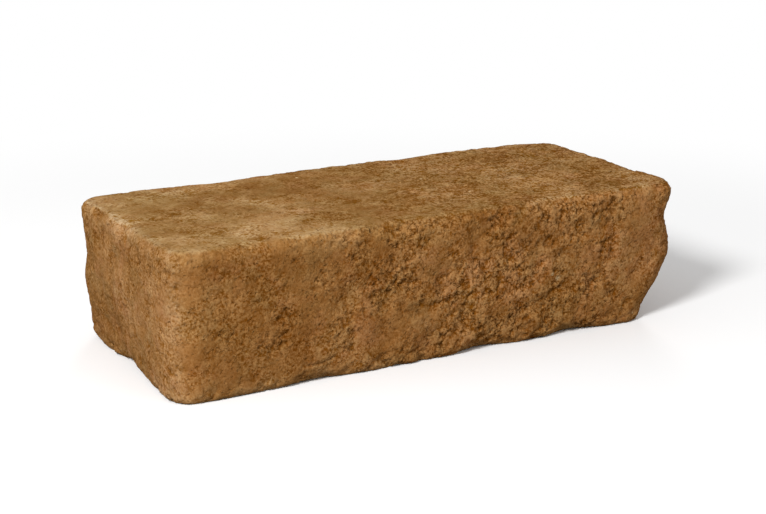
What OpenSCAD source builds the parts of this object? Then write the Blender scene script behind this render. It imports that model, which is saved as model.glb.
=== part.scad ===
// Tumbled concrete stacking block: one solid piece, cast dry, then worn round in a tumbler.
// It is laid dry, course on course, on its two flat beds.
// Sizes are in millimetres. The origin lies under the middle of the lower bed,
// +X runs along the length, the front face looks along -Y and +Z points up.

/* [Block] */
// Length from end to end
block_length = 400; // [240:5:600]
// Depth from the front face to the back face
block_depth = 175; // [120:5:300]
// Height from bed to bed
block_height = 100; // [80:5:180]

/* [Worn arrises] */
// Radius of the arris around the upper bed, where it is worn least
arris_radius = 7; // [5:0.5:10]
// Radius of the arris around the lower bed, where it is worn least
foot_radius = 4.5; // [4:0.5:10]
// What even wear adds to both radii at most
arris_extra = 5; // [0:0.5:8]
// Length over which the wear of an arris changes
arris_run = 38; // [20:1:80]
// What the deepest broken stretch adds to the radius of an arris
break_depth = 9; // [0:0.5:12]
// Distance from its middle at which a broken stretch fades out
break_reach = 30; // [15:1:50]
// Radius of the four upright corners
corner_radius = 19; // [18:1:30]

/* [Rough faces] */
// Depth of the broad hollows in the four upright faces
hollow_depth = 2.6; // [0:0.1:4]
// Width of a broad hollow
hollow_width = 62; // [40:1:100]
// Depth of the smaller dents between them
dent_depth = 2.6; // [0:0.1:4]
// Width of a dent
dent_width = 19; // [14:1:40]
// Depth of the hollows between the clods of the mix, where a face has crumbled most
clod_depth = 2; // [0:0.1:3]
// Width of a clod
clod_width = 12.5; // [10:0.5:20]
// Width of the patches in which a face has crumbled more or less
patch_width = 45; // [30:1:100]
// Length from the left end over which the front face has crumbled less
calm_run = 165; // [60:5:180]
// Length over which that calm stretch fades out
calm_fade = 60; // [30:5:120]

/* [Slanted end] */
// How far the right end is worn back at the lower bed, measured at the front face
slant_run = 28; // [0:1:35]
// Height above the lower bed at which that slant starts
slant_rise = 50; // [30:1:60]
// How far the left end is worn back at the lower bed, measured at the back face
heel_run = 6; // [0:1:15]
// Height above the lower bed at which the worn heel starts
heel_rise = 60; // [30:1:80]
// Length from each end over which its slant fades out
slant_fade = 75; // [60:1:110]

/* [Broken spots] */
// Depth of the deepest broken spot in the upright faces and corners
chip_depth = 6; // [0:0.5:12]
// Distance from its middle at which it fades out
chip_reach = 22; // [15:1:40]

/* [Mesh] */
// Width of the facets on the rough faces
facet_width = 5.5; // [5:0.5:14]

/* [Hidden] */

// How far the raw lump stands proud of each bed before the beds are cut flat
bed_overrun = 0.9;
// How far the cutting slab reaches past the lump on each side
slab_overrun = 10;
// Facets in a quarter turn of an arris, and of an upright corner
arris_facets = 4;
corner_facets = 4;
// Least number of facets along one side and up a face
least_facets = 4;
// Start values of the random numbers, one for each kind of wear
arris_seed = 11;
hollow_seed = 23;
dent_seed = 37;
clod_seed = 53;
patch_seed = 71;
// Steps between the start values of neighbouring random numbers along X, Y and Z
seed_steps = [1, 211, 4177];

// Depth of the right slant at the back face, as a share of that at the front face
back_slant_share = 0.5;
// Least that a face has crumbled, as a share of the most
least_crumbled_share = 0.45;
// Share of the crumbling that the calm stretch lacks at most
calm_share = 0.75;
// How steeply the hollows between the clods fall
clod_sharpness = 1.7;

// Middle of each broken stretch of an arris as shares of half the length, half the depth
// and the height, then its share of the deepest one
break_shares = [
    [-0.66, -1, 1, 0.3],
    [-0.2, -1, 1, 0.4],
    [0.42, -1, 1, 0.3],
    [1, -0.35, 1, 0.6],
    [0.93, 1, 1, 0.9],
    [0.3, 1, 1, 0.5],
    [-0.45, 1, 1, 0.45],
    [-1, -0.1, 1, 0.4],
    [-0.47, -1, 0, 0.7],
    [0.16, -1, 0, 1],
    [0.53, -1, 0, 0.65],
    [-1, 0.1, 0, 0.8],
    [-0.6, 1, 0, 0.75],
    [0.15, 1, 0, 0.55],
    [0.8, 1, 0, 1],
    [1, 0.5, 0, 0.6]
];

// Middle of each broken spot in an upright face or corner, in the same shares
chip_shares = [
    [1, -1, 0.74, 0.7],
    [-1, 0.8, 0.62, 0.6],
    [-1, -1, 0.4, 0.25],
    [-1, 1, 0.3, 0.5],
    [1, 1, 0.55, 0.8],
    [-0.35, 1, 0.5, 0.4],
    [0.5, 1, 0.4, 0.55]
];

half_size = [block_length / 2, block_depth / 2];

// A smooth step from 0 to 1
function eased(x) = x <= 0 ? 0 : x >= 1 ? 1 : x * x * (3 - 2 * x);

function blend(low, high, share) = low + (high - low) * share;

// One random number from -1 to 1 for each cell corner of space
function speck(cell, seed) = rands(-1, 1, 1, seed + cell * seed_steps)[0];

// Random waves that change smoothly from cell corner to cell corner
function wave_x(cell, part, seed) =
    blend(speck(cell, seed), speck(cell + [1, 0, 0], seed), part.x);
function wave_xy(cell, part, seed) =
    blend(wave_x(cell, part, seed), wave_x(cell + [0, 1, 0], part, seed), part.y);
function wave_xyz(cell, part, seed) =
    blend(wave_xy(cell, part, seed), wave_xy(cell + [0, 0, 1], part, seed), part.z);
function wave(place, width, seed) =
    let (scaled = place / width)
    let (cell = [for (v = scaled) floor(v)])
    let (part = [for (v = scaled - cell) eased(v)])
    wave_xyz(cell, part, seed);

// Middle of one broken stretch or spot
function spot_middle(shares) =
    [shares[0] * half_size.x, shares[1] * half_size.y, shares[2] * block_height];

// What all broken stretches add to the radius of an arris at one place
function broken(place) =
    [for (b = break_shares) eased(1 - norm(place - spot_middle(b)) / break_reach)]
    * [for (b = break_shares) break_depth * b[3]];

// Radius of the arris above or below one point of the outline, at most that of a corner
function arris(spot, height, least) =
    let (place = [spot.x, spot.y, height])
    let (worn = eased((wave(place, arris_run, arris_seed) + 1) / 2))
    min(corner_radius, least + arris_extra * worn + broken(place));

// How far a face has crumbled at one place, from 0 to 1: in patches, and least on the front
// face near the left end
function crumbled(place) =
    let (patch = eased((wave(place, patch_width, patch_seed) + 1) / 2))
    let (left_share = eased((calm_run - half_size.x - place.x) / calm_fade))
    let (calm = left_share * eased(-place.y / half_size.y))
    blend(least_crumbled_share, 1, patch) * (1 - calm_share * calm);

// Broad hollows, small dents and clods, as a depth below the true face
function roughness(place) =
    hollow_depth * eased(wave(place, hollow_width, hollow_seed))
    + crumbled(place) * (dent_depth * eased(wave(place, dent_width, dent_seed))
    + clod_depth * eased(clod_sharpness * wave(place, clod_width, clod_seed)));

// The faces that a broken spot lies on, as signs along X and Y
function outer_sign(share) = share >= 1 ? 1 : share <= -1 ? -1 : 0;
function chip_faces(chip) = [outer_sign(chip[0]), outer_sign(chip[1]), 0];

// What all broken spots take off at one place
function chipped(place) =
    [for (chip = chip_shares) eased(1 - norm(place - spot_middle(chip)) / chip_reach)]
    * [for (chip = chip_shares)
        chip_depth * chip[3] * chip_faces(chip) / norm(chip_faces(chip))];

// What the slants take off the two ends towards the lower bed. The right one is less deep
// at the back, and the heel of the left one fades to nothing at the front.
function slanted(place) =
    let (back_share = (place.y / half_size.y + 1) / 2)
    let (depth_share = blend(1, back_slant_share, back_share))
    let (right_run = slant_run * eased(1 - place.z / slant_rise) * depth_share)
    let (left_run = heel_run * eased(1 - place.z / heel_rise) * back_share)
    let (right_share = eased(1 - (half_size.x - place.x) / slant_fade))
    let (left_share = eased(1 - (half_size.x + place.x) / slant_fade))
    [right_run * right_share - left_run * left_share, 0, 0];

// The outline seen from above, with round corners: each entry is a point
// and the direction in which the face looks there
function corner_sign(q) = [q == 0 || q == 3 ? 1 : -1, q < 2 ? 1 : -1];
function corner_middle(q) =
    [for (i = [0, 1]) corner_sign(q)[i] * (half_size[i] - corner_radius)];
function facing_at(angle) = [cos(angle), sin(angle)];
function side_start(q) = corner_middle(q) + corner_radius * facing_at(90 * (q + 1));
function side_end(q) = corner_middle((q + 1) % 4) + corner_radius * facing_at(90 * (q + 1));
function side_facets(q) = max(least_facets, round(norm(side_end(q) - side_start(q)) / facet_width));

outline = [for (q = [0:3]) each concat(
    [for (i = [0:corner_facets - 1])
        let (facing = facing_at(90 * (q + i / corner_facets)))
        [corner_middle(q) + corner_radius * facing, facing]],
    [for (i = [0:side_facets(q) - 1])
        [blend(side_start(q), side_end(q), i / side_facets(q)), facing_at(90 * (q + 1))]]
)];

// The levels from the lower bed to the upper one: each entry is the angle on the arris
// and the share of the straight height between the two arrises
face_facets = max(least_facets, round((block_height - 2 * arris_radius) / facet_width));
levels = concat(
    [for (i = [0:arris_facets - 1]) [90 * (i / arris_facets - 1), 0]],
    [for (i = [0:face_facets]) [0, i / face_facets]],
    [for (i = [1:arris_facets]) [90 * i / arris_facets, 1]]
);

// One point of the raw lump
function lump_point(entry, level) =
    let (low = arris(entry[0], 0, foot_radius))
    let (high = arris(entry[0], block_height, arris_radius))
    let (radius = level[1] == 1 ? high : low)
    let (straight = blend(low - bed_overrun, block_height + bed_overrun - high, level[1]))
    let (spot = entry[0] - entry[1] * radius * (1 - cos(level[0])))
    let (place = [spot.x, spot.y, straight + radius * sin(level[0])])
    let (rough = roughness(place) * cos(level[0]) * [entry[1].x, entry[1].y, 0])
    place - rough - chipped(place) - slanted(place);

// The raw lump: one ring of points for each level, closed by a fan on each end
module lump() {
    ring = len(outline);
    rings = len(levels);
    points = concat(
        [for (level = levels) each [for (entry = outline) lump_point(entry, level)]],
        [[0, 0, -bed_overrun], [0, 0, block_height + bed_overrun]]
    );
    sides = [for (k = [0:rings - 2]) each [for (i = [0:ring - 1])
        let (j = (i + 1) % ring)
        each [
            [k * ring + i, (k + 1) * ring + i, (k + 1) * ring + j],
            [k * ring + i, (k + 1) * ring + j, k * ring + j]
        ]
    ]];
    low_fan = [for (i = [0:ring - 1]) [rings * ring, i, (i + 1) % ring]];
    high_fan = [for (i = [0:ring - 1])
        [rings * ring + 1, (rings - 1) * ring + (i + 1) % ring, (rings - 1) * ring + i]];
    polyhedron(points, concat(sides, low_fan, high_fan), convexity = 4);
}

// The slab between the two beds, wider than the lump
module bed_slab() {
    slab = [block_length + 2 * slab_overrun, block_depth + 2 * slab_overrun, block_height];
    translate([-slab.x / 2, -slab.y / 2, 0]) cube(slab);
}

// The block: the worn lump with its two beds cut flat
module block() {
    color("#96703f")
        intersection() {
            lump();
            bed_slab();
        }
}

block();
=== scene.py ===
import math

import bmesh
import bpy
from bpy.props import FloatProperty, FloatVectorProperty, IntProperty, PointerProperty
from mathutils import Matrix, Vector


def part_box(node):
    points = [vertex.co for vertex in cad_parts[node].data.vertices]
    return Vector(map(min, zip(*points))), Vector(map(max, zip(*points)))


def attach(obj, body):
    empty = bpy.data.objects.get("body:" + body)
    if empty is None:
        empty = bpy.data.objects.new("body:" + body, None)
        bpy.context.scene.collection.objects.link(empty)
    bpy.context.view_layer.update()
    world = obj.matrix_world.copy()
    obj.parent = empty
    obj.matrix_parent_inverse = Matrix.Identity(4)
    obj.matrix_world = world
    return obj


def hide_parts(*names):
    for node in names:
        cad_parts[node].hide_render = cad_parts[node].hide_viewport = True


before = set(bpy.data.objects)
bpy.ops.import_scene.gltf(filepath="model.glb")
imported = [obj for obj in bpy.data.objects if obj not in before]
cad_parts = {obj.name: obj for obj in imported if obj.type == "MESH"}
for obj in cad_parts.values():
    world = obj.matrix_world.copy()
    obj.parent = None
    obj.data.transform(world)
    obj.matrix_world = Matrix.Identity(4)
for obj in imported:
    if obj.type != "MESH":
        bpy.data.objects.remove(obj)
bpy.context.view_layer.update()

bl_info = {
    "name": "Tumbled stacking block",
    "version": (1, 0, 0),
    "blender": (4, 5, 0),
    "location": "3D View > Sidebar > Block",
    "description": "Crumbled faces and through-coloured concrete for one walling block, on a studio floor",
    "category": "Object",
}

LOW, HIGH = (Vector(corner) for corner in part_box("block"))
MIDDLE = (LOW + HIGH) / 2
HALF = (HIGH - LOW) / 2
MM = 0.001
MERGE_GAP = 0.01 * MM
EASING = 0.5
WHITE = (1.0, 1.0, 1.0)


def paint(red, green, blue):
    """A colour written as a screen shows it, from 0 to 255, turned into the light that it reflects."""
    shares = [value / 255 for value in (red, green, blue)]
    return tuple(s / 12.92 if s <= 0.04045 else ((s + 0.055) / 1.055) ** 2.4 for s in shares)


class ReliefSizes(bpy.types.PropertyGroup):
    """Sizes of the crumbled surface."""

    facet: FloatProperty(
        name="Facet", description="Edge of the even quads that the block is remade in",
        default=1.25 * MM, min=1 * MM, unit="LENGTH")
    rounding: IntProperty(
        name="Rounding", description="Passes that smooth the cast facets away", default=7, min=0)
    triangles: IntProperty(
        name="Triangles", description="Triangles that the finished block keeps", default=196000, max=199000)
    crest_height: FloatProperty(
        name="Crest height", description="How far the tops of the clods stand out of the cast face, where "
        "the box of the block leaves room", default=0.75 * MM, unit="LENGTH")
    box_gap: FloatProperty(
        name="Box gap", description="Least way between the finished face and the box of the block",
        default=0.1 * MM, unit="LENGTH")
    swell_depth: FloatProperty(
        name="Swell depth", description="Depth of the soft hollows between the swells",
        default=0.5 * MM, unit="LENGTH")
    swell_width: FloatProperty(
        name="Swell width", description="Distance from swell to swell", default=22 * MM, unit="LENGTH")
    clod_depth: FloatProperty(
        name="Clod depth", description="Depth of the joints between the clods",
        default=1.1 * MM, unit="LENGTH")
    clod_width: FloatProperty(
        name="Clod width", description="Width of a clod of the mix", default=9 * MM, unit="LENGTH")
    grit_depth: FloatProperty(
        name="Grit depth", description="Depth of the joints between the grains of grit",
        default=1.1 * MM, unit="LENGTH")
    grit_width: FloatProperty(
        name="Grit width", description="Width of a grain of grit", default=4.4 * MM, unit="LENGTH")
    crack_depth: FloatProperty(
        name="Crack depth", description="Depth of the short cracks in the crumbled faces",
        default=0.95 * MM, unit="LENGTH")
    crack_width: FloatProperty(
        name="Crack spacing", description="Distance from one short crack to the next",
        default=10 * MM, unit="LENGTH")
    pit_depth: FloatProperty(
        name="Pit depth", description="Depth of the open pits", default=1.25 * MM, unit="LENGTH")
    pit_width: FloatProperty(
        name="Pit width", description="Width of an open pit", default=4.6 * MM, unit="LENGTH")
    crumb_depth: FloatProperty(
        name="Crumb depth", description="Depth of the crumbs lost from the arrises",
        default=2.5 * MM, unit="LENGTH")
    crumb_width: FloatProperty(
        name="Crumb width", description="Width of the crumbs lost from the arrises",
        default=9 * MM, unit="LENGTH")
    fold_depth: FloatProperty(
        name="Fold depth", description="Depth of the fold low on the front face",
        default=1.4 * MM, unit="LENGTH")
    arris_width: FloatProperty(
        name="Arris width", description="Width of the worn band along each arris",
        default=16 * MM, unit="LENGTH")


class ConcreteColours(bpy.types.PropertyGroup):
    """Colours of the concrete."""

    brown: FloatVectorProperty(
        name="Brown", description="Main colour of the mix", subtype="COLOR", default=paint(145, 100, 50))
    umber: FloatVectorProperty(
        name="Umber", description="Browner clouds in the mix", subtype="COLOR", default=paint(136, 90, 44))
    buff: FloatVectorProperty(
        name="Buff", description="Lime bloom on the arrises and the upper bed", subtype="COLOR",
        default=paint(163, 124, 73))
    olive: FloatVectorProperty(
        name="Olive", description="Greener clouds in the mix", subtype="COLOR", default=paint(139, 101, 53))
    rust: FloatVectorProperty(
        name="Rust", description="Reddish clouds in the mix", subtype="COLOR", default=paint(147, 97, 53))
    # The crest and hollow tints paint light on the tops of the grains and shade in the joints between them,
    # over the paler abraded tops and darker joints of the mix itself; the crest tint also carries painted
    # sheen.
    crest: FloatVectorProperty(
        name="Crest tint", description="Tint of the worn tops of the grains", default=(1.34, 1.51, 2.08),
        min=0, max=4)
    hollow: FloatVectorProperty(
        name="Hollow tint", description="Tint of the joints between the grains", default=(0.61, 0.44, 0.14),
        min=0, max=4)
    # The pit colour is painted shade: the open pits, cracks, the fold, the crumbs and the pores are mixed
    # towards it.
    pit: FloatVectorProperty(
        name="Pit", description="Bottoms of the open pits", subtype="COLOR", default=paint(98, 58, 16))
    speck: FloatVectorProperty(
        name="Speck", description="Pale grains of stone", subtype="COLOR", default=paint(224, 193, 146))
    # The weathered and sheltered tints also lay painted light low on the left of the front face and painted
    # shade above it.
    weathered: FloatVectorProperty(
        name="Weathered tint", description="Tint of the broad stretches that weather has bleached",
        default=(1.14, 1.16, 1.21), min=0, max=4)
    sheltered: FloatVectorProperty(
        name="Sheltered tint", description="Tint of the broad stretches that kept their colour",
        default=(0.87, 0.84, 0.74), min=0, max=4)
    bed: FloatVectorProperty(
        name="Bed tint", description="Tint of the beds", default=(0.97, 1.07, 1.2), min=0, max=4)
    bleached: FloatVectorProperty(
        name="Bleached tint", description="Tint of the left end, which is paler and yellower",
        default=(1.04, 1.13, 1.36), min=0, max=4)
    lime: FloatVectorProperty(
        name="Lime", description="Flecks of lime on the crests", subtype="COLOR", default=paint(186, 140, 86))


class StudioSizes(bpy.types.PropertyGroup):
    """Camera and lamps."""

    azimuth: FloatProperty(
        name="Azimuth", description="Where the camera stands round the block",
        subtype="ANGLE", default=math.radians(-29.6))
    elevation: FloatProperty(
        name="Elevation", description="How high the camera stands", subtype="ANGLE", default=math.radians(16))
    distance: FloatProperty(
        name="Distance", description="From the camera to the middle of the block",
        unit="LENGTH", default=1.25)
    lens: FloatProperty(
        name="Lens", description="Focal length of the camera in millimetres", default=82)
    key: FloatProperty(
        name="Key light", description="Light of the key lamp on a face square to it", default=1.0)
    fill: FloatProperty(
        name="Fill light", description="Light of the fill lamp on a face square to it", default=0.12)
    back: FloatProperty(
        name="Back light", description="Light of the back lamp on a face square to it", default=0.5)
    sky: FloatProperty(
        name="Sky light", description="Brightness of the surroundings", default=0.44)


class Wire:
    """An output of a node. Sums on wires add the Math nodes that work them out,
    or Vector Math nodes where a vector or a colour takes part."""

    def __init__(self, tree, socket):
        self.tree = tree
        self.socket = socket

    def is_wide(self):
        return self.socket.type in {"VECTOR", "RGBA"}

    def sum(self, operation, *parts):
        wide = any(part.is_wide() if isinstance(part, Wire) else isinstance(part, tuple) for part in parts)
        if wide:
            parts = [part if isinstance(part, (Wire, tuple)) else (part,) * 3 for part in parts]
        kind = "ShaderNodeVectorMath" if wide else "ShaderNodeMath"
        return node(self.tree, kind, {"operation": operation}, dict(enumerate(parts)))

    def __add__(self, other):
        return self.sum("ADD", self, other)

    def __radd__(self, other):
        return self.sum("ADD", other, self)

    def __sub__(self, other):
        return self.sum("SUBTRACT", self, other)

    def __rsub__(self, other):
        return self.sum("SUBTRACT", other, self)

    def __mul__(self, other):
        return self.sum("MULTIPLY", self, other)

    def __rmul__(self, other):
        return self.sum("MULTIPLY", other, self)

    def __truediv__(self, other):
        return self.sum("DIVIDE", self, other)

    def __rtruediv__(self, other):
        return self.sum("DIVIDE", other, self)

    def __pow__(self, other):
        return self.sum("POWER", self, other)

    def __abs__(self):
        return self.sum("ABSOLUTE", self)

    def least(self, other):
        return self.sum("MINIMUM", self, other)

    def most(self, other):
        return self.sum("MAXIMUM", self, other)


def pick(sockets, key):
    """A socket by its place, identifier or name."""
    if isinstance(key, int):
        return sockets[key]
    for socket in sockets:
        if key in (socket.identifier, socket.name):
            return socket
    raise KeyError(f"no socket {key}")


def node(tree, kind, settings=None, values=None, output=0):
    """Adds a node: first its settings, then the values or wires of its sockets."""
    made = tree.nodes.new(kind)
    for name, setting in (settings or {}).items():
        setattr(made, name, setting)
    for key, value in (values or {}).items():
        socket = pick(made.inputs, key)
        if isinstance(value, Wire):
            tree.links.new(value.socket, socket)
        elif isinstance(value, tuple) and socket.type == "RGBA":
            socket.default_value = (*value, 1)
        else:
            socket.default_value = value
    return Wire(tree, pick(made.outputs, output))


def smooth(value, start, end, low=0.0, high=1.0):
    """A smooth step from low to high while the value goes from start to end."""
    values = {"Value": value, "From Min": start, "From Max": end, "To Min": low, "To Max": high}
    return node(value.tree, "ShaderNodeMapRange", {"interpolation_type": "SMOOTHSTEP"}, values, "Result")


def clouds(place, name, width=None, wide=False):
    """The named soft noise from 0 to 1, or a colour of it."""
    own_width, detail, rough, shift = CLOUDS[name]
    values = {"Vector": place + (shift, shift * 2, shift * 3), "Scale": 1 / (width or own_width),
              "Detail": detail, "Roughness": rough}
    return node(place.tree, "ShaderNodeTexNoise", {}, values, "Color" if wide else "Fac")


def pushed(place, name, reach):
    """The place moved about by the named noise, by half the reach at most."""
    return place + (clouds(place, name, wide=True) - 0.5) * reach


def part_of(vector, axis):
    """One of the three numbers of a vector or a colour."""
    return node(vector.tree, "ShaderNodeSeparateXYZ", {}, {"Vector": vector}, axis)


def mixed(factor, base, top):
    """Colour base with colour top laid over it by the factor."""
    values = {"Factor_Float": factor, "A_Color": base, "B_Color": top}
    return node(factor.tree, "ShaderNodeMix", {"data_type": "RGBA"}, values, "Result_Color")


def stored(geometry, name, value):
    """The geometry with a number or a vector for each point kept under a name."""
    kind = "FLOAT_VECTOR" if value.is_wide() else "FLOAT"
    values = {"Geometry": geometry, "Name": name, "Value": value}
    return node(geometry.tree, "GeometryNodeStoreNamedAttribute", {"data_type": kind, "domain": "POINT"},
                values, "Geometry")


def linked_end(wire, kind, key):
    """Adds the last node of a tree and links the wire to it."""
    end = wire.tree.nodes.new(kind)
    wire.tree.links.new(wire.socket, end.inputs[key])


def arris_share(place, width):
    """1 on the arrises of the block, 0 farther than width from them."""
    out = abs(place - tuple(MIDDLE))
    gaps = [edge - part_of(out, axis) for edge, axis in zip(HALF, "XYZ")]
    nearest = gaps[0].least(gaps[1]).least(gaps[2])
    farthest = gaps[0].most(gaps[1]).most(gaps[2])
    second = gaps[0] + gaps[1] + gaps[2] - nearest - farthest
    return smooth(second, 0.0, width, 1.0, 0.0)


def along(share):
    """A place along the block, from a share of half its length, to a hundredth of a millimetre."""
    return round(MIDDLE.x + share * HALF.x, 5)


def up(share):
    """A height on the block, from a share of its height, to a hundredth of a millimetre."""
    return round(LOW.z + share * 2 * HALF.z, 5)


# Soft noises: the distance from lump to lump, or None where the sizes give it, then the number of
# finer layers, how strong those are, and the shift that makes each noise another one
CLOUDS = {
    "bend": (16 * MM, 2, 0.5, 0),
    "knot": (3.5 * MM, 2, 0.5, 9),
    "swell": (None, 3, 0.5, 1),
    "clod": (None, 3, 0.6, 2),
    "grit_patch": (13 * MM, 3, 0.5, 8),
    "crack": (None, 4, 0.6, 15),
    "crack_luck": (6 * MM, 3, 0.5, 6),
    "pit": (None, 3, 0.6, 4),
    "crumb": (None, 3, 0.6, 7),
    "rough_drift": (40 * MM, 3, 0.5, 11),
    "rough_patch": (26 * MM, 3, 0.5, 12),
    "fold_wander": (9 * MM, 2, 0.5, 13),
    "ruffle": (1.6 * MM, 1, 0.5, 24),
    "dust": (1.6 * MM, 3, 0.7, 26),
    "patina": (8 * MM, 4, 0.65, 27),
    "pore_patch": (9 * MM, 3, 0.5, 32),
    "fleck": (3 * MM, 2, 0.6, 33),
    "umber": (45 * MM, 3, 0.5, 21),
    "rust": (24 * MM, 4, 0.6, 22),
    "olive": (20 * MM, 4, 0.6, 34),
    "bloom": (32 * MM, 4, 0.6, 23),
    "bloom_drift": (40 * MM, 4, 0.6, 35),
    "bloom_patch": (38 * MM, 3, 0.5, 44),
    "weather": (55 * MM, 3, 0.55, 41),
    "quiet": (28 * MM, 3, 0.5, 45),
}

# Grained patterns: the width of a grain, or None where the sizes give it, and the shift
GRAINS = {
    "grit": (None, 3),
    "sand": (2.0 * MM, 25),
    "stone": (11 * MM, 29),
    "pore": (2.8 * MM, 31),
}

# How far the noises push the patterns about
BEND_REACH = 9 * MM
KNOT_REACH = 3.2 * MM
RUFFLE_REACH = 1.4 * MM
DRIFT_REACH = 250 * MM
FOLD_REACH = 7 * MM

# Where the wear changes along the block: the start and the end of each change
ROUGH_GROWS = (along(-0.6), along(0.0))
ROUGH_FADES = (along(0.6), along(0.85))
TIP_GROWS = (along(0.88), along(0.95))
BUSY_GROWS = (along(-0.3), along(0.5))

# The fold low on the front face: a line that climbs to the right
FOLD_GROWS = (along(-0.55), along(-0.5))
FOLD_FADES = (along(-0.44), along(-0.39))
FOLD_FOOT = (along(-0.45), up(0.14))
FOLD_RISE = 0.09
FOLD_WIDTH = 1.2 * MM

# Where the paint changes: along the block, up it, and for the rear from front to back
BLOOM_FADES = (along(-0.65), along(-0.35))
BLOOM_SLANT = 0.35
END_FADES = (along(-0.985), along(-0.94))
RIGHT_GROWS = (along(0.45), along(0.7))
RIGHT_LIFTS = (up(0.2), up(0.5))
REAR_FADES = (along(-0.95), along(-0.75))
REAR_GROWS = (-20 * MM, 50 * MM)
CALM_FADES = (along(-0.5), along(-0.25))
# Heights over which the painted light on the left of the front face fades upwards
FOOT_LIGHT_FADES = (up(0.2), up(0.6))
DARK_BAND = along(-0.15)
DARK_FADES = (10 * MM, 50 * MM)

# Spots of open pits on the front face: shares of half the length and of the height, then the reach
# as a share of half the length
PITTED_SHARES = (
    (-0.24, 0.64, 0.1),
    (-0.34, 0.88, 0.08),
    (-0.39, 0.34, 0.08),
    (-0.64, 0.34, 0.07),
    (-0.59, 0.47, 0.06),
    (-0.82, 0.4, 0.05),
    (0.63, 0.62, 0.06),
    (0.71, 0.9, 0.09),
)

# Pale stones in the front face, in the same shares
STONE_SHARES = (
    (0.46, 0.43, 0.011),
    (0.435, 0.47, 0.007),
    (0.48, 0.39, 0.006),
    (0.8, 0.07, 0.007),
)

# Stretches of the front face that are worn smooth, in the same shares
SMOOTH_SHARES = (
    (0.87, 0.55, 0.15),
    (0.76, 0.5, 0.1),
)

HOLLOWS = ("swell", "clod", "grit", "crack", "pit", "crumb", "fold")


def also(wire, output):
    """Another output of the node that a wire comes from."""
    return Wire(wire.tree, pick(wire.socket.node.outputs, output))


def grains(place, name, width=None):
    """The named grains: the way from the middle of each in grain widths, and its luck, from 0 to 1."""
    own_width, shift = GRAINS[name]
    values = {"Vector": place + (shift, shift * 2, shift * 3), "Scale": 1 / (width or own_width)}
    away = node(place.tree, "ShaderNodeTexVoronoi", {}, values, "Distance")
    return away, part_of(also(away, "Color"), "X")


def joints(away, luck):
    """0 on the worn tops of grains to 1 in the joints between them, where unlucky grains sit lower."""
    return smooth(away + (1 - luck) * 0.5, 0.4, 1.2)


def relief(place, zone, sizes):
    """What has crumbled away at a place: each kind of hollow from 0, untouched, to 1, its deepest."""
    coarse, bed, arris, pitted = (zone[name] for name in ("coarse", "bed", "arris", "pitted"))
    bent = pushed(place, "bend", BEND_REACH)
    knotted = pushed(place, "knot", KNOT_REACH)

    swell = smooth(clouds(bent, "swell", sizes.swell_width), 0.44, 0.68)
    clod = smooth(clouds(knotted, "clod", sizes.clod_width), 0.44, 0.64)
    grit_patch = smooth(clouds(place, "grit_patch"), 0.44, 0.58)
    grit = joints(*grains(knotted, "grit", sizes.grit_width)) * (0.25 + 0.75 * grit_patch)
    crack_line = abs(clouds(bent, "crack", sizes.crack_width) - 0.5)
    crack_luck = clouds(place, "crack_luck") + 0.13 * coarse - 0.06
    crack = smooth(crack_line, 0.0, 0.025, 1.0, 0.0) * smooth(crack_luck, 0.46, 0.55)
    pit_luck = clouds(knotted, "pit", sizes.pit_width) + 0.07 * pitted + 0.03 * coarse
    pit = smooth(pit_luck, 0.62, 0.69)
    crumb = smooth(clouds(knotted, "crumb", sizes.crumb_width), 0.48, 0.62)
    return {
        "swell": swell * (0.3 + 0.7 * coarse) * (1 - 0.6 * bed),
        "clod": clod * (0.08 + 0.92 * coarse),
        "grit": grit * (0.06 + 0.94 * coarse),
        "crack": crack * (0.4 + 0.6 * coarse),
        "pit": pit * (0.3 + 0.7 * coarse),
        "crumb": crumb * arris * (0.45 + 0.55 * coarse),
        "fold": zone["fold"],
    }


def fine_grain(place):
    """What is too fine for the mesh: sand, dust, patina, pores and flecks of lime, each from 0 to 1."""
    ruffled = pushed(place, "ruffle", RUFFLE_REACH)
    pore_away, pore_luck = grains(ruffled, "pore")
    pore_luck = pore_luck * 0.4 + clouds(place, "pore_patch")
    return {
        "sand": joints(*grains(ruffled, "sand")),
        "dust": clouds(place, "dust"),
        "patina": clouds(place, "patina"),
        "pore": smooth(pore_away, 0.2, 0.4, 1.0, 0.0) * smooth(pore_luck, 0.7, 0.78),
        "fleck": smooth(clouds(ruffled, "fleck"), 0.6, 0.66),
    }


def near_spot(place, spot):
    """1 round the middle of a spot on the front face, and 0 a little beyond its reach."""
    x_share, z_share, reach_share = spot
    middle = (MIDDLE.x + x_share * HALF.x, LOW.y, LOW.z + z_share * 2 * HALF.z)
    reach = reach_share * HALF.x
    far = node(place.tree, "ShaderNodeVectorMath", {"operation": "DISTANCE"}, {0: place, 1: middle}, "Value")
    return smooth(far, 0.4 * reach, 1.3 * reach, 1.0, 0.0)


def near_spots(place, spots):
    """1 at the middle of any of the spots, 0 away from all of them."""
    nearest = near_spot(place, spots[0])
    for spot in spots[1:]:
        nearest = nearest.most(near_spot(place, spot))
    return nearest


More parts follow.
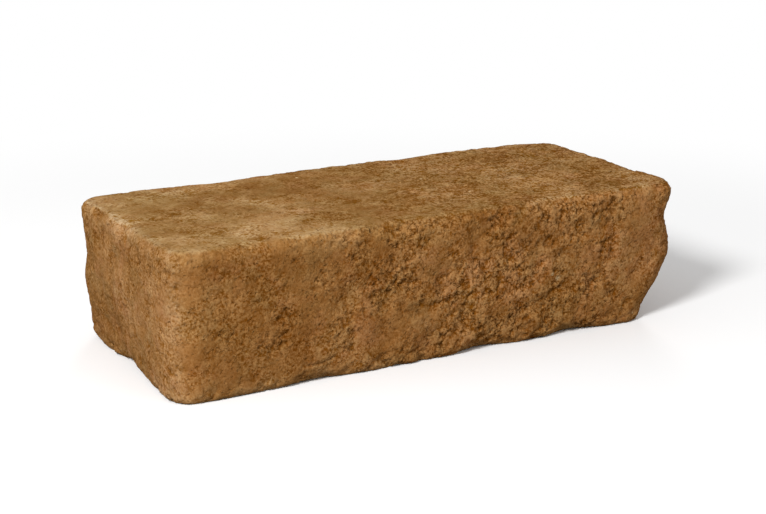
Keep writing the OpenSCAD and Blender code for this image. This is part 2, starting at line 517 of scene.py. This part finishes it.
def crumbled_surface(sizes):
    """Geometry nodes that crumble the smooth block inside its box, and keep for the paint where each
    point lay before."""
    tree = bpy.data.node_groups.new("crumbled_surface", "GeometryNodeTree")
    tree.interface.new_socket("Geometry", in_out="INPUT", socket_type="NodeSocketGeometry")
    tree.interface.new_socket("Geometry", in_out="OUTPUT", socket_type="NodeSocketGeometry")
    geometry = node(tree, "NodeGroupInput", output="Geometry")
    place = node(tree, "GeometryNodeInputPosition", output="Position")
    facing = node(tree, "GeometryNodeInputNormal", output="Normal")
    x, z = part_of(place, "X"), part_of(place, "Z")

    bed = smooth(abs(part_of(facing, "Z")), 0.7, 0.97)
    front = smooth(0 - part_of(facing, "Y"), 0.3, 0.8)
    left_end = smooth(0 - part_of(facing, "X"), 0.3, 0.8)
    drift = (clouds(place, "rough_drift") - 0.5) * DRIFT_REACH
    rougher = smooth(x + drift, *ROUGH_GROWS) * smooth(x + drift, *ROUGH_FADES, 1.0, 0.3)
    patches = smooth(clouds(place, "rough_patch"), 0.4, 0.6)
    pitted = near_spots(place, PITTED_SHARES) * front

    side = 0.25 + 0.5 * patches
    side = side + front * (0.1 + (0.2 + 0.4 * rougher) * patches + 0.3 * rougher - side)
    side = side * (1 - 0.7 * near_spots(place, SMOOTH_SHARES))
    side = side + left_end * (0.2 + 0.3 * patches - side)
    side = side.most(0.6 * pitted).most(0.6 * smooth(x, *TIP_GROWS))
    busy = smooth(x + drift, *BUSY_GROWS)
    top = 0.05 + 0.18 * patches + busy * (0.12 + 0.25 * patches)
    pitted = pitted.most(0.4 * bed * busy)
    coarse = side + bed * (top - side)

    wander = (clouds(place, "fold_wander") - 0.5) * FOLD_REACH
    fold_x, fold_z = FOLD_FOOT
    fold_line = z - fold_z - FOLD_RISE * (x - fold_x) + wander
    stretch = smooth(x, *FOLD_GROWS) * smooth(x, *FOLD_FADES, 1.0, 0.0)
    fold = smooth(abs(fold_line), 0.0, FOLD_WIDTH, 1.0, 0.0) * stretch * front

    zone = {"coarse": coarse, "bed": bed, "arris": arris_share(place, sizes.arris_width),
            "pitted": pitted, "fold": fold}
    hollows = relief(place, zone, sizes)
    depth = hollows["swell"] * sizes.swell_depth - coarse * sizes.crest_height
    for name in HOLLOWS[1:]:
        depth = depth + hollows[name] * getattr(sizes, name + "_depth")
    depth = depth * (1 - 0.5 * bed)
    geometry = stored(geometry, "cast_place", place)
    for name, value in {**zone, "clod": hollows["clod"], "crumb": hollows["crumb"]}.items():
        geometry = stored(geometry, name, value)
    gap = Vector((sizes.box_gap,) * 3)
    crumbled = (place - facing * depth).least(tuple(HIGH - gap)).most(tuple(LOW + gap))
    moved = {"Geometry": geometry, "Position": crumbled}
    geometry = node(tree, "GeometryNodeSetPosition", {}, moved, "Geometry")
    linked_end(geometry, "NodeGroupOutput", "Geometry")
    return tree


def mix_colour(place, colours):
    """Brown concrete with browner, reddish and greener clouds in it."""
    umber = smooth(clouds(place, "umber"), 0.4, 0.62)
    base = mixed(umber * 0.5, tuple(colours.brown), tuple(colours.umber))
    rust = smooth(clouds(place, "rust"), 0.5, 0.62)
    rust = (rust * 0.4).most(0.4 * near_spots(place, SMOOTH_SHARES))
    base = mixed(rust, base, tuple(colours.rust))
    olive = smooth(clouds(place, "olive"), 0.5, 0.62)
    return mixed(olive * 0.5, base, tuple(colours.olive))


def bloom_share(place, zone):
    """How thick the lime bloom lies: most on the left part of the upper bed, some on the arrises."""
    bed, arris = zone["bed"], zone["arris"]
    x, y = part_of(place, "X"), part_of(place, "Y")
    drift = (clouds(place, "bloom_drift") - 0.5) * DRIFT_REACH
    left = smooth(x + BLOOM_SLANT * y + drift, *BLOOM_FADES, 1.0, 0.0)
    bloom = smooth(clouds(place, "bloom"), 0.42, 0.6)
    patches = smooth(clouds(place, "bloom_patch"), 0.42, 0.56)
    bloom = bloom * (0.35 * bed + 0.45 * arris) + left * ((0.22 + 0.5 * patches) * bed + 0.22 * arris)
    return (bloom * (1 - 0.4 * zone["coarse"])).least(0.9)


def weather_and_light_share(place, bed, end):
    """0 where the block kept its colour to 1 where weather has bleached it. It is lower, so darker,
    towards the back of the left end, and on the left of the front face it carries painted light:
    higher towards the bottom and lower above.
    """
    x, y, z = (part_of(place, axis) for axis in "XYZ")
    right = smooth(x, *RIGHT_GROWS) * smooth(z, *RIGHT_LIFTS) * (1 - bed)
    rear = smooth(y, *REAR_GROWS) * smooth(x, *REAR_FADES, 1.0, 0.0) * (1 - bed)
    calm = smooth(x, *CALM_FADES, 1.0, 0.0) * (1 - end) * (1 - bed)
    # Painted light that evens out the left of the front face: lighter towards the bottom and darker higher
    # up.
    foot_light = smooth(z, *FOOT_LIGHT_FADES, 1.0, 0.0)
    band = smooth(abs(x - DARK_BAND), *DARK_FADES, 1.0, 0.0) * bed
    weather = (0.5 + (clouds(place, "weather") - 0.5) * (1 + 0.8 * bed)
               + 0.3 * right + calm * (0.12 * foot_light - 0.06) - 0.16 * rear - 0.14 * band)
    return smooth(weather, 0.34, 0.66)


def concrete(colours, sizes):
    """Through-coloured dry-cast concrete: clouds of brown, a buff bloom, weathered stretches, pale
    crests with painted light and darker joints with painted shade between the grains, open pits,
    cracks and pores with painted shade in them, painted light low on the left of the front face,
    flecks of lime and a few pale stones."""
    made = bpy.data.materials.new("tumbled_concrete")
    made.use_nodes = True
    tree = made.node_tree
    tree.nodes.clear()

    def kept(name, output="Fac"):
        return node(tree, "ShaderNodeAttribute", {"attribute_name": name}, output=output)

    place = kept("cast_place", "Vector")
    zone = {name: kept(name) for name in ("coarse", "bed", "arris", "pitted", "fold")}
    hollows = {**relief(place, zone, sizes), "clod": kept("clod"), "crumb": kept("crumb")}
    fine = fine_grain(place)
    coarse, bed = zone["coarse"], zone["bed"]
    x = part_of(place, "X")
    busy = bed * smooth(x, *BUSY_GROWS)
    end = smooth(x, *END_FADES, 1.0, 0.0)

    base = mixed(bloom_share(place, zone), mix_colour(place, colours), tuple(colours.buff))
    # Weathered and sheltered stretches, with painted light low on the left of the front face and painted
    # shade above it.
    weather = weather_and_light_share(place, bed, end)
    base = base * mixed(weather, tuple(colours.sheltered), tuple(colours.weathered))
    base = base * mixed(end, WHITE, tuple(colours.bleached))
    base = base * mixed(bed, WHITE, tuple(colours.bed))

    quiet = smooth(clouds(place, "quiet"), 0.42, 0.53).most(0.6 * end)
    quiet = quiet * (1 - coarse) * (1 - busy)
    grain = ((0.12 + 0.25 * coarse) * (fine["sand"] - 0.47)
             + (2.4 + 1.6 * busy) * (fine["dust"] - 0.5)
             + (0.9 + 1.0 * bed + 0.4 * busy) * (fine["patina"] - 0.5))
    # Painted light and shade on the grains, over their own wear: the clod and grit joints take painted shade,
    # the coarse stretches are painted lighter against the shade of their relief, and sand, dust and patina
    # add their own tone.
    wear_and_shade = (0.5 + 0.3 * hollows["clod"] + 0.35 * hollows["grit"] - 0.23 * coarse
            + grain * (1 - 0.8 * quiet))
    base = base * mixed(smooth(wear_and_shade, 0.08, 0.92), tuple(colours.crest), tuple(colours.hollow))

    # Painted shade in the open pits, cracks, the fold low on the front face, the crumbs of the arrises and
    # the pores, strongest in the pores of coarse stretches and beds.
    pore_shade = 0.15 + 0.4 * coarse + 0.25 * bed + 0.3 * busy
    recess_shade = (hollows["pit"] * 0.8 + hollows["crack"] * 0.95 + hollows["fold"] * 0.6
            + hollows["crumb"] * 0.12 + fine["pore"] * pore_shade)
    base = mixed(recess_shade.least(0.85), base, tuple(colours.pit))
    base = mixed(fine["fleck"] * (0.15 + 0.25 * coarse + 0.45 * busy), base, tuple(colours.lime))
    stone_away, stone_luck = grains(place, "stone")
    stones = smooth(stone_away, 0.07, 0.11, 1.0, 0.0) * smooth(stone_luck, 0.9, 0.93)
    stones = stones.most(near_spots(place, STONE_SHARES) * smooth(fine["dust"], 0.4, 0.5))
    base = mixed(stones * 0.7, base, tuple(colours.speck))

    height = (0 - fine["dust"] * (0.2 - 0.1 * quiet) - fine["sand"] * (0.1 + 0.22 * coarse)
              - fine["pore"] * 0.35 - hollows["grit"] * 0.4 - hollows["crack"] * 0.2
              - hollows["pit"] * 0.2)
    bump = {"Strength": 1.0, "Distance": MM, "Height": height}
    values = {
        "Base Color": base,
        "Roughness": 0.84 + 0.14 * fine["dust"],
        "Specular IOR Level": 0.0,
        "Normal": node(tree, "ShaderNodeBump", {}, bump, "Normal"),
    }
    surface = node(tree, "ShaderNodeBsdfPrincipled", {}, values, "BSDF")
    linked_end(surface, "ShaderNodeOutputMaterial", "Surface")
    return made


class BLOCK_OT_concrete_block(bpy.types.Operator):
    """Remake the cast block in even quads, crumble its surface and paint it as concrete"""

    bl_idname = "block.concrete_block"
    bl_label = "Concrete block"

    def execute(self, context):
        sizes = context.scene.relief_sizes
        cast = bmesh.new()
        cast.from_mesh(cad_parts["block"].data)
        bmesh.ops.remove_doubles(cast, verts=cast.verts, dist=MERGE_GAP)
        mesh = bpy.data.meshes.new("concrete_block")
        cast.to_mesh(mesh)
        cast.free()
        piece = bpy.data.objects.new("concrete_block", mesh)
        context.scene.collection.objects.link(piece)

        remade = piece.modifiers.new("even_quads", "REMESH")
        remade.mode = "VOXEL"
        remade.voxel_size = sizes.facet
        eased = piece.modifiers.new("rounding", "SMOOTH")
        eased.factor = EASING
        eased.iterations = sizes.rounding
        crumbled = piece.modifiers.new("crumbled", "NODES")
        crumbled.node_group = crumbled_surface(sizes)

        self.apply_modifiers(context, piece)
        thinned = piece.modifiers.new("thinned", "DECIMATE")
        piece.data.calc_loop_triangles()
        thinned.ratio = min(1.0, sizes.triangles / len(piece.data.loop_triangles))
        self.apply_modifiers(context, piece)
        piece.data.shade_smooth()
        piece.data.materials.clear()
        piece.data.materials.append(concrete(context.scene.concrete_colours, sizes))

        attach(piece, "root")
        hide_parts("block")
        return {"FINISHED"}

    def apply_modifiers(self, context, piece):
        """Gives the piece the mesh that its modifiers make of it."""
        settled = piece.evaluated_get(context.evaluated_depsgraph_get())
        older = piece.data
        piece.data = bpy.data.meshes.new_from_object(settled)
        piece.modifiers.clear()
        bpy.data.meshes.remove(older)
        piece.data.name = piece.name


def seen_only_by_camera(tree, direct, other):
    """One value for the camera and mirrors, another for the light that the surface gives to the block."""
    path = {key: node(tree, "ShaderNodeLightPath", output=key)
            for key in ("Is Camera Ray", "Is Glossy Ray", "Is Transmission Ray")}
    straight = path["Is Camera Ray"].most(path["Is Glossy Ray"]).most(path["Is Transmission Ray"])
    return straight * (direct - other) + other


def area_lamp(context, name, azimuth, elevation, distance, size, light):
    """A round lamp that gives a face square to it the stated light."""
    lamp = bpy.data.lights.new(name, "AREA")
    lamp.shape = "DISK"
    lamp.size = size
    lamp.energy = light * (math.pi * distance) ** 2
    made = bpy.data.objects.new(name, lamp)
    context.scene.collection.objects.link(made)
    aim_at_block(made, azimuth, elevation, distance)
    return made


def aim_at_block(thing, azimuth, elevation, distance):
    """Places a lamp or the camera round the block, looking at its middle."""
    outward = Vector((math.sin(azimuth) * math.cos(elevation), -math.cos(azimuth) * math.cos(elevation),
                      math.sin(elevation)))
    thing.location = MIDDLE + outward * distance
    thing.rotation_euler = (-outward).to_track_quat("-Z", "Y").to_euler()


# Lamps: where each stands round the block and how high, in degrees, how far off, and how wide it is
LAMPS = {
    "key": (-58, 38, 1.9, 0.5),
    "fill": (35, 30, 2.2, 1.6),
    "back": (148, 9, 2.2, 0.7),
}

# The floor: its radius, where it runs into white, the grey that the camera sees and the grey that
# lights the block
FLOOR_RADIUS = 9
FLOOR_PALES = (0.3, 0.75)
FLOOR_SEEN = 0.92
FLOOR_LIGHT = 0.35


class BLOCK_OT_studio(bpy.types.Operator):
    """Set up the floor, the lamps and the camera"""

    bl_idname = "block.studio"
    bl_label = "Studio"

    def execute(self, context):
        scene = context.scene
        studio = scene.studio_sizes
        ground = bmesh.new()
        bmesh.ops.create_circle(ground, cap_ends=True, segments=96, radius=FLOOR_RADIUS)
        bmesh.ops.translate(ground, verts=ground.verts, vec=(0, 0, LOW.z))
        mesh = bpy.data.meshes.new("floor")
        ground.to_mesh(mesh)
        ground.free()
        floor = bpy.data.objects.new("floor", mesh)
        scene.collection.objects.link(floor)
        mesh.materials.append(self.floor_paint())

        for name, (azimuth, elevation, distance, size) in LAMPS.items():
            area_lamp(context, name, math.radians(azimuth), math.radians(elevation), distance, size,
                      getattr(studio, name))

        camera = bpy.data.cameras.new("camera")
        camera.lens = studio.lens
        viewer = bpy.data.objects.new("camera", camera)
        scene.collection.objects.link(viewer)
        aim_at_block(viewer, studio.azimuth, studio.elevation, studio.distance)
        scene.camera = viewer

        world = bpy.data.worlds.new("surroundings")
        world.use_nodes = True
        tree = world.node_tree
        tree.nodes.clear()
        strength = seen_only_by_camera(tree, 1.0, studio.sky)
        sky = {"Color": WHITE, "Strength": strength}
        glow = node(tree, "ShaderNodeBackground", {}, sky, "Background")
        linked_end(glow, "ShaderNodeOutputWorld", "Surface")
        scene.world = world
        scene.view_settings.view_transform = "Standard"
        return {"FINISHED"}

    def floor_paint(self):
        """Pale matt floor that keeps the shadow and runs into white away from the block."""
        made = bpy.data.materials.new("floor_paint")
        made.use_nodes = True
        tree = made.node_tree
        tree.nodes.clear()
        grey = seen_only_by_camera(tree, FLOOR_SEEN, FLOOR_LIGHT)
        matt = node(tree, "ShaderNodeBsdfDiffuse", {}, {"Color": grey}, "BSDF")
        white = node(tree, "ShaderNodeEmission", {}, {"Color": WHITE, "Strength": 1.0}, "Emission")
        place = node(tree, "ShaderNodeTexCoord", output="Object")
        far = node(tree, "ShaderNodeVectorMath", {"operation": "LENGTH"}, {0: place}, "Value")
        away = seen_only_by_camera(tree, 1.0, 0.0) * smooth(far, *FLOOR_PALES)
        both = node(tree, "ShaderNodeMixShader", {}, {0: away, 1: matt, 2: white}, "Shader")
        linked_end(both, "ShaderNodeOutputMaterial", "Surface")
        return made


class BLOCK_PT_sidebar(bpy.types.Panel):
    """Sizes, colours and steps of the block"""

    bl_idname = "BLOCK_PT_sidebar"
    bl_label = "Stacking block"
    bl_space_type = "VIEW_3D"
    bl_region_type = "UI"
    bl_category = "Block"

    def draw(self, context):
        scene = context.scene
        for group in (scene.relief_sizes, scene.concrete_colours, scene.studio_sizes):
            box = self.layout.box()
            for name in group.bl_rna.properties.keys():
                if name not in {"rna_type", "name"}:
                    box.prop(group, name)
        self.layout.operator(BLOCK_OT_concrete_block.bl_idname)
        self.layout.operator(BLOCK_OT_studio.bl_idname)


CLASSES = (
    ReliefSizes,
    ConcreteColours,
    StudioSizes,
    BLOCK_OT_concrete_block,
    BLOCK_OT_studio,
    BLOCK_PT_sidebar,
)


def register():
    for cls in CLASSES:
        bpy.utils.register_class(cls)
    bpy.types.Scene.relief_sizes = PointerProperty(type=ReliefSizes)
    bpy.types.Scene.concrete_colours = PointerProperty(type=ConcreteColours)
    bpy.types.Scene.studio_sizes = PointerProperty(type=StudioSizes)


def unregister():
    del bpy.types.Scene.studio_sizes
    del bpy.types.Scene.concrete_colours
    del bpy.types.Scene.relief_sizes
    for cls in reversed(CLASSES):
        bpy.utils.unregister_class(cls)


def main():
    register()
    bpy.ops.block.concrete_block()
    bpy.ops.block.studio()


if __name__ == "__main__":
    main()
